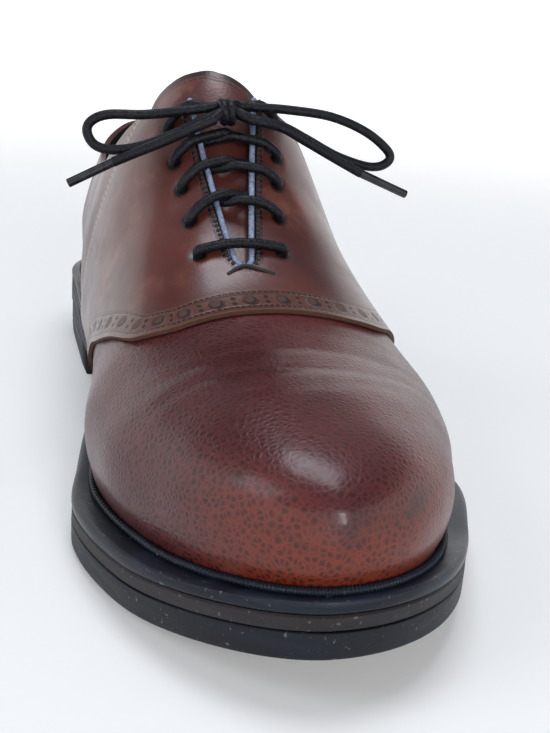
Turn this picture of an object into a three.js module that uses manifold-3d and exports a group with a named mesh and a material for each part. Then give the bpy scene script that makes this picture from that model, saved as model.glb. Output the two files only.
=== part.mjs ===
// A man's left saddle oxford with a brogued saddle, standing empty on its sole.
// Lengths are millimetres. X runs to the outer side of the foot, Y to the heel and Z up.
import * as THREE from 'three';
import { mergeVertices } from 'three/addons/utils/BufferGeometryUtils.js';
import Module from 'manifold-3d';

const wasm = await Module();
wasm.setup();

// Driving sizes of the shoe
const SOLE_LENGTH = 312;
const BALL_WIDTH = 114;
const LAST_HEIGHT = 134.5;
const COLLAR_HEIGHT = 92.5;
const HEEL_RISE = 15;
const TOE_SPRING = 12.6;
const TOE_TIP = 14;
const HEEL_SHOW = 4;
const TOE_SHOW = 5;

// Thickness of each layer, and the gap between two pieces that touch
const GAP = 0.3;
const HEEL_LIFT = 6;
const HEEL_SCOOP = 4;
const OUTSOLE = 7;
const MIDSOLE = 3.7;
const WELT = 3.2;
const WELT_WIDTH = 14;
const WELT_ROUND = 0.9;
const INSOLE = 3.2;
const LEATHER = 2;
const SADDLE = 1.3;
const TONGUE = 2.4;
const TONGUE_WIDTH = 42;
const TONGUE_SHIFT = 3.5;
const BINDING = 1.8;
const LACE = 3;
const AGLET = 2.8;
const EYELET = 4;
const EYELETS_FOOT = 12.3;
const EYELETS_TOP = 16.4;

// Places along the upper, as shares of its length from the back
const THROAT = 0.664;
const FACING_TOP = 0.486;
const TONGUE_FOOT = 0.695;
const HEEL_BREAST = 0.3;
const EYELET_ROWS = [0.641, 0.602, 0.567, 0.537, 0.502];
const SADDLE_FOOT = 0.93;

// Rounding of the sole and the last in plan, and of the last's toe from the side
const HEEL_CAP = { length: 0.125, power: 2.1 };
const TOE_CAP = { length: 0.3, power: 2.05 };
const TOE_DOME = { length: 0.16, power: 2.3 };

// The back of the last bulges up to its waist and then leans in towards the collar, and the toe bulges
const BACK = { bulge: 3, waist: 44, lean: 0.15 };
const TOE = { bulge: 1.2, waist: 17 };
const SOFT_RISE = 30;

// Half of the gap between the two facings, and the length of its rounded end
const SLIT = { foot: 3.3, top: 11.6, round: 3.6 };

// Half widths of the sole as shares of the ball width, and how far the upper turns in under itself
const sole = table(['at', 'medial', 'lateral', 'feather'], [
  [0.00, 0.300, 0.320, 0.050],
  [0.12, 0.305, 0.328, 0.050],
  [0.25, 0.305, 0.340, 0.045],
  [0.38, 0.290, 0.368, 0.035],
  [0.50, 0.315, 0.430, 0.040],
  [0.60, 0.378, 0.505, 0.052],
  [0.68, 0.415, 0.545, 0.062],
  [0.76, 0.448, 0.548, 0.072],
  [0.86, 0.438, 0.508, 0.079],
  [1.00, 0.394, 0.484, 0.080],
]);

// Height of the outsole's underside as shares of the heel's rise and of the toe spring
const underside = table(['at', 'heel', 'toe'], [
  [0.00, 1.00, 0.00],
  [0.15, 1.00, 0.00],
  [0.30, 0.73, 0.00],
  [0.45, 0.27, 0.00],
  [0.58, 0.03, 0.00],
  [0.62, 0.00, 0.00],
  [0.70, 0.00, 0.00],
  [0.86, 0.00, 0.28],
  [1.00, 0.00, 1.00],
]);

// Sections of the last: the top line as a share of the last's height, then shares of the ball width,
// and the fullness of the curve over the top and down the side
const section = table(['at', 'top', 'ridge', 'medial', 'lateral', 'wide', 'over', 'side'], [
  [0.00, 0.860, 0.000, 0.264, 0.300, 0.185, 0.43, 0.12],
  [0.12, 0.890, 0.010, 0.268, 0.318, 0.185, 0.44, 0.18],
  [0.25, 0.945, 0.022, 0.298, 0.353, 0.168, 0.50, 0.28],
  [0.38, 1.000, 0.030, 0.330, 0.398, 0.150, 0.48, 0.38],
  [0.46, 0.935, 0.024, 0.327, 0.420, 0.150, 0.46, 0.43],
  [0.55, 0.738, 0.014, 0.339, 0.451, 0.142, 0.45, 0.44],
  [0.64, 0.560, 0.008, 0.369, 0.488, 0.134, 0.49, 0.51],
  [0.72, 0.470, 0.000, 0.403, 0.503, 0.126, 0.53, 0.54],
  [0.80, 0.436, -0.004, 0.403, 0.480, 0.126, 0.56, 0.56],
  [0.88, 0.427, -0.004, 0.378, 0.455, 0.126, 0.57, 0.56],
  [1.00, 0.420, 0.000, 0.341, 0.450, 0.126, 0.58, 0.56],
]);

// Height of the collar's edge as shares of its height at the back
const collar = table(['at', 'medial', 'lateral'], [
  [0.00, 1.000, 1.000],
  [0.06, 0.935, 0.980],
  [0.18, 0.858, 0.865],
  [0.27, 0.860, 0.835],
  [0.36, 0.995, 0.915],
  [0.43, 1.145, 1.050],
  [FACING_TOP, 1.185, 1.178],
]);

// Edges of the saddle from the ridge, 0, to the sole, 1, as shares of the upper's length
const saddle = table(['at', 'rear', 'medial', 'lateral'], [
  [0.00, 0.440, 0.724, 0.724],
  [0.20, 0.437, 0.727, 0.715],
  [0.34, 0.433, 0.710, 0.699],
  [0.45, 0.430, 0.669, 0.668],
  [0.55, 0.425, 0.625, 0.641],
  [0.65, 0.420, 0.565, 0.610],
  [0.80, 0.413, 0.510, 0.545],
  [1.00, 0.405, 0.480, 0.510],
]);

// Top edge of the tongue from the ridge, 0, to its own edge, 1, as shares of the upper's length
const tongueTip = table(['at', 'medial', 'lateral'], [
  [0.00, 0.467, 0.467],
  [0.33, 0.452, 0.469],
  [0.60, 0.433, 0.470],
  [0.85, 0.420, 0.475],
  [1.00, 0.436, 0.488],
]);

// Monotone cubic through rows of numbers
function smooth(at, values, x) {
  const place = THREE.MathUtils.clamp(x, at[0], at[at.length - 1]);
  const slopes = values.slice(1).map((value, i) => (value - values[i]) / (at[i + 1] - at[i]));
  const slope = (i) => {
    if (i === 0) return slopes[0];
    if (i === at.length - 1) return slopes[i - 1];
    const product = slopes[i - 1] * slopes[i];
    return product <= 0 ? 0 : (2 * product) / (slopes[i - 1] + slopes[i]);
  };
  const i = Math.min(at.length - 2, at.filter((start) => start <= place).length - 1);
  const span = at[i + 1] - at[i];
  const t = (place - at[i]) / span;
  return (2 * t ** 3 - 3 * t ** 2 + 1) * values[i] + (t ** 3 - 2 * t ** 2 + t) * span * slope(i)
    + (3 * t ** 2 - 2 * t ** 3) * values[i + 1] + (t ** 3 - t ** 2) * span * slope(i + 1);
}

function table(names, rows) {
  const columns = names.map((name, i) => rows.map((row) => row[i]));
  return (name, x) => smooth(columns[0], columns[names.indexOf(name)], x);
}

function cubic(a, b, c, d, t) {
  return (1 - t) ** 3 * a + 3 * (1 - t) ** 2 * t * b + 3 * (1 - t) * t ** 2 * c + t ** 3 * d;
}

const sideName = (side) => (side < 0 ? 'medial' : 'lateral');

// How far the outline has opened from the centre line at a share of the length
function opening(share) {
  const heel = THREE.MathUtils.clamp(1 - share / HEEL_CAP.length, 0, 1);
  const toe = THREE.MathUtils.clamp((share - 1 + TOE_CAP.length) / TOE_CAP.length, 0, 1);
  return (1 - heel ** HEEL_CAP.power) ** (1 / HEEL_CAP.power)
    * (1 - toe ** TOE_CAP.power) ** (1 / TOE_CAP.power);
}

// Heights of the outsole's underside and of the welt's top at a place along the shoe
function under(y) {
  const share = 0.5 - y / SOLE_LENGTH;
  return HEEL_RISE * underside('heel', share) + TOE_SPRING * underside('toe', share);
}

const seat = (y) => under(y) + OUTSOLE + MIDSOLE + WELT + 2 * GAP;

const backY = SOLE_LENGTH / 2 - HEEL_SHOW;
const frontY = TOE_SHOW - SOLE_LENGTH / 2;

const ridge = (s) => section('ridge', s) * BALL_WIDTH * opening(s);
const featherHalf = (s, side) => (sole(sideName(side), s) - sole('feather', s)) * BALL_WIDTH * opening(s);

// A point of the last: s runs from heel to toe and t from the ridge, 0, to the feather edge, 1
function last(s, side, t) {
  const base = seat(backY + (frontY - backY) * s) + GAP;
  const dome = THREE.MathUtils.clamp((s - 1 + TOE_DOME.length) / TOE_DOME.length, 0, 1);
  const tip = base + TOE_TIP;
  const fall = (1 - dome ** TOE_DOME.power) ** (1 / TOE_DOME.power);
  const top = tip + (section('top', s) * LAST_HEIGHT - tip) * fall;
  const wide = base + section('wide', s) * BALL_WIDTH * Math.min(1, (top - base) / SOFT_RISE);
  const half = section(sideName(side), s) * BALL_WIDTH * opening(s);
  const feather = Math.max(0, featherHalf(s, side));
  const centre = side * ridge(s);
  let x;
  let z;
  if (t <= 0.7) {
    const u = t / 0.7;
    x = cubic(centre, centre + (half - centre) * section('over', s), half, half, u);
    z = cubic(top, top, wide + (top - wide) * section('side', s), wide, u);
  } else {
    const u = (t - 0.7) / 0.3;
    x = cubic(half, half, feather + (half - feather) * 0.55, feather, u);
    z = cubic(wide, wide - (wide - base) * 0.45, base + (wide - base) * 0.12, base, u);
  }
  const rise = z - base;
  const back = backY + BACK.bulge * Math.sin(Math.PI * Math.min(rise / BACK.waist, 1))
    - BACK.lean * Math.max(rise - BACK.waist, 0);
  const front = frontY - TOE.bulge * Math.sin(Math.PI * Math.min(rise / TOE.waist, 1));
  return new THREE.Vector3(side * x, back + (front - back) * s, z);
}

// The two sides share their points along the ridge, up the heel and up the toe
const sharedSide = (s, side, t) => (s <= 0 || s >= 1 || t <= 0 ? 1 : side);

function facing(s, side, t) {
  const step = 0.001;
  const face = sharedSide(s, side, t);
  const ahead = THREE.MathUtils.clamp(s + step, 2 * step, 1 - step);
  const behind = THREE.MathUtils.clamp(s - step, step, 1 - 2 * step);
  const along = last(ahead, face, t).sub(last(behind, face, t));
  const down = last(s, face, Math.min(t + step, 1)).sub(last(s, face, Math.max(t - step, 0)));
  const normal = along.cross(down).multiplyScalar(face);
  if (s <= 0 || s >= 1) normal.x = 0;
  return normal.normalize();
}

function skin(s, side, t, lift) {
  return last(s, sharedSide(s, side, t), t).addScaledVector(facing(s, side, t), lift);
}

// The t at a distance across from the ridge
function across(s, side, distance) {
  let low = 0;
  let high = 0.7;
  for (let i = 0; i < 30; i += 1) {
    const middle = (low + high) / 2;
    if (side * (last(s, side, middle).x - ridge(s)) < distance) low = middle;
    else high = middle;
  }
  return (low + high) / 2;
}

const slitTurn = SLIT.round / (backY - frontY);

function slit(s) {
  const up = (THROAT - s) / (THROAT - FACING_TOP);
  const turn = THREE.MathUtils.clamp((s - THROAT + slitTurn) / slitTurn, 0, 1);
  return (SLIT.foot + (SLIT.top - SLIT.foot) * up) * Math.sqrt(1 - turn ** 2);
}

function isOpen(s, side, t) {
  if (s >= THROAT) return false;
  const point = last(s, side, t);
  if (s < FACING_TOP) return point.z > collar(sideName(side), s) * COLLAR_HEIGHT;
  return side * (point.x - ridge(s)) < slit(s);
}

// Marks down a line of the last, from the edge of the collar or throat to the lowest t
function marksDown(line, side, lowest) {
  let low = 0;
  let high = 0.69;
  if (isOpen(line(0), side, 0)) {
    for (let i = 0; i < 30; i += 1) {
      const middle = (low + high) / 2;
      if (isOpen(line(middle), side, middle)) low = middle;
      else high = middle;
    }
  }
  return lastMarks.map((mark) => {
    const t = THREE.MathUtils.clamp(mark, low, lowest);
    return [line(t), t];
  });
}

// Places on the last where every wall has its corners
const lastMarks = [0, 0.07, 0.15, 0.23, 0.31, 0.39, 0.47, 0.55, 0.62, 0.7, 0.78, 0.86, 0.93, 1];

// A closed wall between two lifts from the last, over rows of marks on its two sides
function wall(rows, innerLift, outerLift) {
  const places = new Map();
  const marks = [];
  const indexOf = (s, side, t) => {
    const face = sharedSide(s, side, t);
    const key = `${s.toFixed(5)} ${face} ${t.toFixed(5)}`;
    if (!places.has(key)) {
      places.set(key, marks.length);
      marks.push([s, face, t]);
    }
    return places.get(key);
  };
  const faces = [];
  for (const side of [-1, 1]) {
    const net = rows.map((row) => row(side).map(([s, t]) => indexOf(s, side, t)));
    for (let i = 0; i + 1 < net.length; i += 1) {
      for (let j = 0; j + 1 < net[i].length; j += 1) {
        const corners = [net[i][j], net[i + 1][j], net[i + 1][j + 1], net[i][j + 1]];
        if (side < 0) corners.reverse();
        for (const face of [[0, 1, 2], [0, 2, 3]]) {
          const triangle = face.map((corner) => corners[corner]);
          if (new Set(triangle).size === 3) faces.push(triangle);
        }
      }
    }
  }
  const count = marks.length;
  const directed = new Set(faces.flatMap(([a, b, c]) => [`${a} ${b}`, `${b} ${c}`, `${c} ${a}`]));
  const triangles = [];
  for (const [a, b, c] of faces) {
    triangles.push([a, b, c], [c + count, b + count, a + count]);
    for (const [from, to] of [[a, b], [b, c], [c, a]]) {
      if (!directed.has(`${to} ${from}`)) {
        triangles.push([to, from, from + count], [to, from + count, to + count]);
      }
    }
  }
  const outer = marks.map(([s, side, t]) => skin(s, side, t, outerLift));
  const inner = marks.map(([s, side, t]) => skin(s, side, t, innerLift));
  return geometryOf([...outer, ...inner], triangles);
}

function geometryOf(points, triangles) {
  const geometry = new THREE.BufferGeometry().setFromPoints(points);
  geometry.setIndex(triangles.flat());
  return geometry;
}

// Closed solids are joined and cut as manifolds
function toSolid(geometry) {
  const bare = geometry.clone();
  bare.deleteAttribute('normal');
  bare.deleteAttribute('uv');
  const merged = mergeVertices(bare, 1e-4);
  return new wasm.Manifold(new wasm.Mesh({
    numProp: 3,
    vertProperties: new Float32Array(merged.attributes.position.array),
    triVerts: new Uint32Array(merged.index.array),
  }));
}

function fromSolid(solid) {
  const mesh = solid.getMesh();
  const geometry = new THREE.BufferGeometry();
  geometry.setAttribute('position', new THREE.BufferAttribute(new Float32Array(mesh.vertProperties), 3));
  geometry.setIndex(new THREE.BufferAttribute(new Uint32Array(mesh.triVerts), 1));
  return geometry;
}

// Shares from 0 to 1 that crowd towards both ends
function crowded(count) {
  return Array.from({ length: count + 1 }, (_, i) => (1 - Math.cos((Math.PI * i) / count)) / 2);
}

// A loop round an outline that is inset from the sole's edge, at the height of a level
function loopAt(level, shares) {
  const soleHalf = (s, side) => sole(sideName(side), s) * BALL_WIDTH * opening(s);
  const half = level.half ?? soleHalf;
  const back = SOLE_LENGTH / 2 - (level.back ?? 0) - level.inset;
  const front = (level.front ?? 0) + level.inset - SOLE_LENGTH / 2;
  const point = (s, side) => {
    const y = back + (front - back) * s;
    const x = Math.max(0, half(s, side) - level.inset * opening(s));
    return new THREE.Vector3(side * x, y, level.height(y));
  };
  const lateral = shares.map((s) => point(s, 1));
  const medial = shares.filter((s) => s > 0 && s < 1).map((s) => point(s, -1)).reverse();
  return [...lateral, ...medial];
}

// Levels from the underside up, as a plate with rungs across its two faces
function plate(levels, shares) {
  const loops = levels.map((level) => loopAt(level, shares));
  const size = loops[0].length;
  const triangles = sideTriangles(loops.length, size);
  const lastLoop = (loops.length - 1) * size;
  const other = (i) => (i === 0 ? 0 : size - i);
  const rungs = shares.length - 1;
  for (let i = 0; i < rungs; i += 1) {
    const ends = [i, i + 1, other(i + 1), other(i)];
    for (const face of [[0, 1, 2], [0, 2, 3]]) {
      const corners = face.map((corner) => ends[corner]);
      if (new Set(corners).size === 3) {
        triangles.push([...corners]);
        triangles.push([...corners].reverse().map((corner) => corner + lastLoop));
      }
    }
  }
  return geometryOf(loops.flat(), triangles);
}

// Levels up the outside and down the inside, as a ring
function ring(levels, shares) {
  const loops = levels.map((level) => loopAt(level, shares));
  const size = loops[0].length;
  const triangles = sideTriangles(loops.length, size);
  for (let i = 0; i < size; i += 1) {
    const next = (i + 1) % size;
    const lastLoop = (loops.length - 1) * size;
    triangles.push([lastLoop + i, i, next], [lastLoop + i, next, lastLoop + next]);
  }
  return geometryOf(loops.flat(), triangles);
}

function sideTriangles(loopCount, size) {
  const triangles = [];
  for (let level = 0; level + 1 < loopCount; level += 1) {
    for (let i = 0; i < size; i += 1) {
      const next = (i + 1) % size;
      const low = level * size;
      const high = low + size;
      triangles.push([low + i, high + next, low + next], [low + i, high + i, high + next]);
    }
  }
  return triangles;
}

// A round cord through points
function cord(points, diameter, steps, sides = 8) {
  const corners = Array.from({ length: sides }, (_, i) => {
    const angle = (2 * Math.PI * i) / sides;
    return new THREE.Vector2(Math.cos(angle) * diameter / 2, Math.sin(angle) * diameter / 2);
  });
  const path = new THREE.CatmullRomCurve3(points, false, 'centripetal');
  const settings = { steps, bevelEnabled: false, extrudePath: path };
  return new THREE.ExtrudeGeometry(new THREE.Shape(corners), settings);
}

const group = new THREE.Group();

function add(name, geometry, color, roughness, metalness = 0) {
  const mesh = new THREE.Mesh(geometry, new THREE.MeshStandardMaterial({ color, roughness, metalness }));
  mesh.name = name;
  group.add(mesh);
}

const SADDLE_TOP = GAP + SADDLE;
const LACE_LIFT = SADDLE_TOP + GAP + LACE / 2;

// Sole
const soleShares = crowded(32);
const outsoleTop = (y) => under(y) + OUTSOLE;
const midsoleFoot = (y) => outsoleTop(y) + GAP;
const midsoleTop = (y) => midsoleFoot(y) + MIDSOLE;
const weltFoot = (y) => midsoleTop(y) + GAP;

const outsole = plate([
  { inset: 0.6, height: under },
  { inset: 0, height: (y) => under(y) + 0.6 },
  { inset: 0, height: (y) => outsoleTop(y) - 0.3 },
  { inset: 0.3, height: outsoleTop },
], soleShares);

const midsole = plate([
  { inset: 0.4, height: midsoleFoot },
  { inset: 0.1, height: (y) => midsoleFoot(y) + 0.3 },
  { inset: 0.1, height: (y) => midsoleTop(y) - 0.5 },
  { inset: 0.6, height: midsoleTop },
], soleShares);

const welt = ring([
  { inset: WELT_ROUND + 0.4, height: weltFoot },
  { inset: 0.3, height: (y) => weltFoot(y) + 0.6 },
  { inset: 0.3, height: (y) => seat(y) - 1.2 },
  { inset: WELT_ROUND, height: (y) => seat(y) - 0.3 },
  { inset: WELT_ROUND + 1.2, height: seat },
  { inset: WELT_WIDTH, height: seat },
  { inset: WELT_WIDTH, height: weltFoot },
], soleShares);

// Heel
const heelShares = [...crowded(32).filter((s) => s < HEEL_BREAST), HEEL_BREAST];

function heelPart(foot, top, taper) {
  const block = plate([
    { inset: 0.8 + taper, height: foot },
    { inset: 0.3 + taper, height: (y) => foot(y) + 0.5 },
    { inset: 0.3, height: (y) => top(y) - 0.4 },
    { inset: 0.7, height: top },
  ], heelShares);
  const scoop = new THREE.CylinderGeometry(BALL_WIDTH, BALL_WIDTH, 4 * HEEL_RISE, 96);
  scoop.rotateX(Math.PI / 2);
  scoop.translate(0, SOLE_LENGTH * (0.5 - HEEL_BREAST) + HEEL_SCOOP - BALL_WIDTH, 0);
  return fromSolid(toSolid(block).subtract(toSolid(scoop)));
}

const heelLift = heelPart(() => 0, () => HEEL_LIFT, 0.4);
const heelBlock = heelPart(() => HEEL_LIFT + GAP, (y) => under(y) - GAP, 0);

// Insole
const insolePlug = WELT_WIDTH + GAP;
const lining = LEATHER + GAP;
const insoleEdge = {
  inset: lining,
  half: featherHalf,
  back: HEEL_SHOW,
  front: TOE_SHOW,
};
const insole = plate([
  { inset: insolePlug, height: weltFoot },
  { inset: insolePlug, height: (y) => seat(y) + GAP },
  { ...insoleEdge, height: (y) => seat(y) + GAP },
  { ...insoleEdge, height: (y) => seat(y) + GAP + INSOLE - 0.8 },
  { ...insoleEdge, inset: lining + 0.8, height: (y) => seat(y) + GAP + INSOLE },
], soleShares);

// Upper
const facingShares = [
  FACING_TOP - 0.002, FACING_TOP + 0.002, 0.52, 0.555, 0.59, 0.625,
  THROAT - slitTurn, THROAT - slitTurn * 0.45, THROAT - slitTurn * 0.1, THROAT,
];
const upperShares = [
  0, 0.006, 0.022, 0.047, 0.08, 0.125, 0.18, 0.24, 0.30, 0.35, 0.39, 0.43, 0.46, ...facingShares,
  0.70, 0.74, 0.78, 0.82, 0.855, 0.89, 0.92, 0.945, 0.965, 0.982, 0.993, 0.998, 1,
];

// How far the eyelets of a row are from the ridge
const eyeletOut = (row) => EYELETS_FOOT + (EYELETS_TOP - EYELETS_FOOT) * (row / (EYELET_ROWS.length - 1));

function punch(solid) {
  let cut = solid;
  for (const [row, s] of EYELET_ROWS.entries()) {
    for (const side of [-1, 1]) {
      const t = across(s, side, eyeletOut(row));
      const hole = new THREE.CylinderGeometry(EYELET / 2, EYELET / 2, 4 * LEATHER, 12);
      const up = new THREE.Vector3(0, 1, 0);
      hole.applyQuaternion(new THREE.Quaternion().setFromUnitVectors(up, facing(s, side, t)));
      const middle = skin(s, side, t, 0);
      hole.translate(middle.x, middle.y, middle.z);
      cut = cut.subtract(toSolid(hole));
    }
  }
  return cut;
}

const upperRows = upperShares.map((s) => (side) => marksDown(() => s, side, 1));
const upper = fromSolid(punch(toSolid(wall(upperRows, -LEATHER, 0))));

// The last without its openings, which the pieces over and under the upper are cut with
const closedRows = upperShares.map((s) => () => lastMarks.map((t) => [s, t]));
const closedWall = (inner, outer) => toSolid(wall(closedRows, inner, outer));

// Saddle
const saddleRear = saddle('rear', 0);
const saddleFront = saddle('medial', 0);
const saddleShares = [saddleRear, 0.462, ...facingShares, 0.684, 0.704, saddleFront];
const saddleLine = (side, share) => (t) => {
  const rear = saddle('rear', t);
  return rear + (saddle(sideName(side), t) - rear) * ((share - saddleRear) / (saddleFront - saddleRear));
};
const saddleRow = (share) => (side) => marksDown(saddleLine(side, share), side, SADDLE_FOOT);
const saddleRows = saddleShares.map(saddleRow);
const saddleBlank = toSolid(wall(saddleRows, -SADDLE, SADDLE_TOP));
const saddlePiece = fromSolid(punch(saddleBlank.subtract(closedWall(-LEATHER - SADDLE, GAP))));

// Tongue
const tongueLift = -LEATHER - GAP;
const tongueRow = (step) => (side) => Array.from({ length: 7 }, (_, i) => {
  const u = i / 6;
  const corner = 1 - Math.sqrt(1 - (u * 0.97) ** 2);
  const tip = tongueTip(sideName(side), u);
  const foot = TONGUE_FOOT - 0.03 * corner;
  const s = tip + (foot - tip) * step;
  return [s, u === 0 ? 0 : across(s, side, (TONGUE_WIDTH / 2 - side * TONGUE_SHIFT) * u)];
});
const tongueSteps = [0, 0.04, 0.12, 0.24, 0.36, 0.48, 0.6, 0.72, 0.84, 0.94, 1];
const tongueBlank = toSolid(wall(tongueSteps.map(tongueRow), tongueLift - TONGUE, tongueLift + LEATHER));
const tongue = fromSolid(tongueBlank.subtract(closedWall(tongueLift, 2 * LEATHER)));

// Binding round the throat
const bindingInset = 1.4 * GAP + BINDING / 2;
const bindingLift = 0.9;
const bindingTop = FACING_TOP + 0.006;
const bindingStraight = THROAT - slitTurn;
const bindingSide = [0, 0.2, 0.4, 0.6, 0.8, 1].map((share) => {
  const s = bindingTop + (bindingStraight - bindingTop) * share;
  return [s, slit(s) - bindingInset];
});
const bindingTurn = [0.35, 0.7].map((turn) => {
  const deep = slitTurn - bindingInset / (backY - frontY);
  const wide = slit(bindingStraight) - bindingInset;
  return [bindingStraight + deep * Math.sin((turn * Math.PI) / 2), wide * Math.cos((turn * Math.PI) / 2)];
});
const bindingEnd = [THROAT - bindingInset / (backY - frontY), 0];
const onThroat = (side) => ([s, distance]) => {
  const t = distance > 0 ? across(s, side, distance) : 0;
  return skin(s, side, t, bindingLift);
};
const bindingPath = [
  ...[...bindingSide, ...bindingTurn].map(onThroat(-1)),
  onThroat(1)(bindingEnd),
  ...[...bindingSide, ...bindingTurn].reverse().map(onThroat(1)),
];

// Laces
function strand(row, side, climb) {
  const s = EYELET_ROWS[row];
  const eyelet = eyeletOut(row);
  const points = [
    [s, side, eyelet, LACE_LIFT],
    [s - climb * 0.35, side, eyelet - 3.6, LACE_LIFT + 0.5],
    [s - climb * 0.7, side, slit(s) - 0.2, LACE_LIFT + 0.3],
    [s - climb * 0.95, side, 1.6, LACE_LIFT - 1],
    [s - climb, -side, 1.8, LACE_LIFT - 2.4],
  ];
  const spots = points.map(([at, face, distance, lift]) => skin(at, face, across(at, face, distance), lift));
  return cord(spots, LACE, 7);
}

function bar(row) {
  const s = EYELET_ROWS[row];
  const eyelet = eyeletOut(row);
  const points = [];
  for (const share of [-1, -0.75, -0.4, 0, 0.4, 0.75, 1]) {
    const side = share < 0 ? -1 : 1;
    const t = share === 0 ? 0 : across(s, side, eyelet * Math.abs(share));
    points.push(skin(s, side, t, LACE_LIFT));
  }
  return cord(points, LACE, 12);
}

const crossings = [
  { name: 'lace_cross_1', row: 1, climb: [0.014, 0.008] },
  { name: 'lace_cross_2', row: 2, climb: [0.009, 0.004] },
  { name: 'lace_cross_3', row: 3, climb: [0.004, 0.001] },
];

// Bow
const knotCentre = new THREE.Vector3(1.7, -12.6, 112);
const topEyelet = (side) => {
  const s = EYELET_ROWS[4];
  return skin(s, side, across(s, side, EYELETS_TOP), LACE_LIFT);
};
const overFacing = (side) => {
  const s = EYELET_ROWS[4] + 0.002;
  return skin(s, side, across(s, side, slit(s) - 1), LACE_LIFT + 1.2);
};
const at = (x, y, z) => new THREE.Vector3(x, y, z);
const knotStrand = cord([
  topEyelet(-1), overFacing(-1), at(-2.4, -9.2, 112.6), at(5.6, -9.2, 112.8), overFacing(1), topEyelet(1),
], LACE, 16);
const knotWrap = cord([at(-2.2, -12.6, 111.9), knotCentre, at(5.6, -12.6, 112.1)], 7, 3, 10);

const medialLoop = [
  at(-3.4, -12.6, 113.2), at(-9.6, -12.0, 112.0), at(-23.3, -9.5, 109.8), at(-34.4, -9, 109.3),
  at(-39.6, -9, 107.1), at(-40.8, -9.2, 103.8), at(-38.4, -10, 100.1), at(-32.9, -11, 99),
  at(-24.4, -12.4, 100.7), at(-15, -13.6, 104.7), at(-7.6, -15.2, 108.9), at(-3.6, -15.6, 110.8),
];
const lateralLoop = [
  at(6.8, -12.2, 113.9), at(11, -11.7, 113.7), at(21.8, -11.2, 113.4), at(36.2, -11.5, 111.9),
  at(48.8, -11.5, 107.4), at(57.1, -11.5, 101.2), at(55.8, -11.8, 97.6), at(49.8, -12, 96.7),
  at(38.7, -12.6, 99.7), at(27.8, -13, 104.8), at(18.4, -14.2, 108.8), at(7, -14.8, 110.8),
];
const medialEnd = [
  at(-3.4, -18.9, 110.2), at(-10.5, -18.8, 107), at(-18.7, -17.5, 102.8), at(-26.8, -16, 99),
  at(-33.4, -14.6, 95.8),
];
const lateralEnd = [
  at(6.8, -18.4, 110.6), at(17.2, -18.2, 108.8), at(27, -17.6, 104.2), at(36.6, -16.8, 99.5),
  at(46, -15.8, 95),
];
const aglet = (end, tip) => {
  const start = end[end.length - 1];
  const direction = tip.clone().sub(start).normalize();
  return cord([start.clone().addScaledVector(direction, GAP), tip], AGLET, 1, 10);
};

const NAVY = 0x20242f;
add('heel_lift', heelLift, NAVY, 0.8);
add('heel_block', heelBlock, 0x1a1d25, 0.7);
add('outsole', outsole, NAVY, 0.75);
add('midsole', midsole, 0x4a4345, 0.7);
add('welt', welt, 0x2c3440, 0.6);
add('insole', insole, 0x2a201c, 0.8);
add('upper', upper, 0x6b2a20, 0.45);
add('saddle', saddlePiece, 0x6a3d34, 0.35);
add('tongue', tongue, 0x5a2c26, 0.45);
add('throat_binding', cord(bindingPath, BINDING, 36), 0x8090a8, 0.5);
add('lace_bar', bar(0), 0x1a1d28, 0.6);
for (const { name, row, climb } of crossings) {
  const crossing = toSolid(strand(row, -1, climb[0])).add(toSolid(strand(row, 1, climb[1])));
  add(name, fromSolid(crossing), 0x1a1d28, 0.6);
}
add('lace_knot', fromSolid(toSolid(knotStrand).add(toSolid(knotWrap))), 0x1a1d28, 0.6);
add('lace_loop_medial', cord(medialLoop, LACE, 18), 0x1a1d28, 0.6);
add('lace_loop_lateral', cord(lateralLoop, LACE, 20), 0x1a1d28, 0.6);
add('lace_end_medial', cord(medialEnd, LACE, 7), 0x1a1d28, 0.6);
add('lace_end_lateral', cord(lateralEnd, LACE, 8), 0x1a1d28, 0.6);
add('aglet_medial', aglet(medialEnd, at(-46.6, -12, 88.6)), 0x14151a, 0.25);
add('aglet_lateral', aglet(lateralEnd, at(63.5, -13.4, 88.2)), 0x14151a, 0.25);

// The origin is under the middle of the sole
const box = new THREE.Box3().setFromObject(group.getObjectByName('outsole'));
group.position.set(-(box.min.x + box.max.x) / 2, -(box.min.y + box.max.y) / 2, 0);

export default group;
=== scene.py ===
import math
from functools import lru_cache

import bmesh
import bpy
from mathutils import Matrix, Vector, kdtree


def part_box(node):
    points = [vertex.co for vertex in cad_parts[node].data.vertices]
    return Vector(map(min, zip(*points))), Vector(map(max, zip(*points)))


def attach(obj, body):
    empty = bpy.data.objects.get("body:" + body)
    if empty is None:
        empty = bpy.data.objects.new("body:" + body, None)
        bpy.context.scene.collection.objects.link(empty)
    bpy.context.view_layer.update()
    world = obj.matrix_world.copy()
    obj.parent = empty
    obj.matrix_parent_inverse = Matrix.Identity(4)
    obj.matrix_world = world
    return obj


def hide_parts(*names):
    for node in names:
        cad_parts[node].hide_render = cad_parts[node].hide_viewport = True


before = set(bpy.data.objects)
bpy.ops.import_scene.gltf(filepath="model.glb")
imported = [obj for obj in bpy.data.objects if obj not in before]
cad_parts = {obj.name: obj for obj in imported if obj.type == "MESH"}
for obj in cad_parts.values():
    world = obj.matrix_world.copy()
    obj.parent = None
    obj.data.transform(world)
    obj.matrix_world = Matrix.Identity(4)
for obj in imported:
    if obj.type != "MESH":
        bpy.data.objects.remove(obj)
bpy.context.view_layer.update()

# Outsole: one moulded slab of dark rubber, 7 mm thick, whose underside rises at the waist and toe.
# The outline's half widths are shares of the ball width, from the heel to the toe.
SOLE_LENGTH, BALL_WIDTH = 312, 114
HEEL_RISE, TOE_SPRING = 15, 12.6
OUTSOLE, MIDSOLE, WELT, GAP = 7, 3.7, 3.2, 0.3


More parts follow.
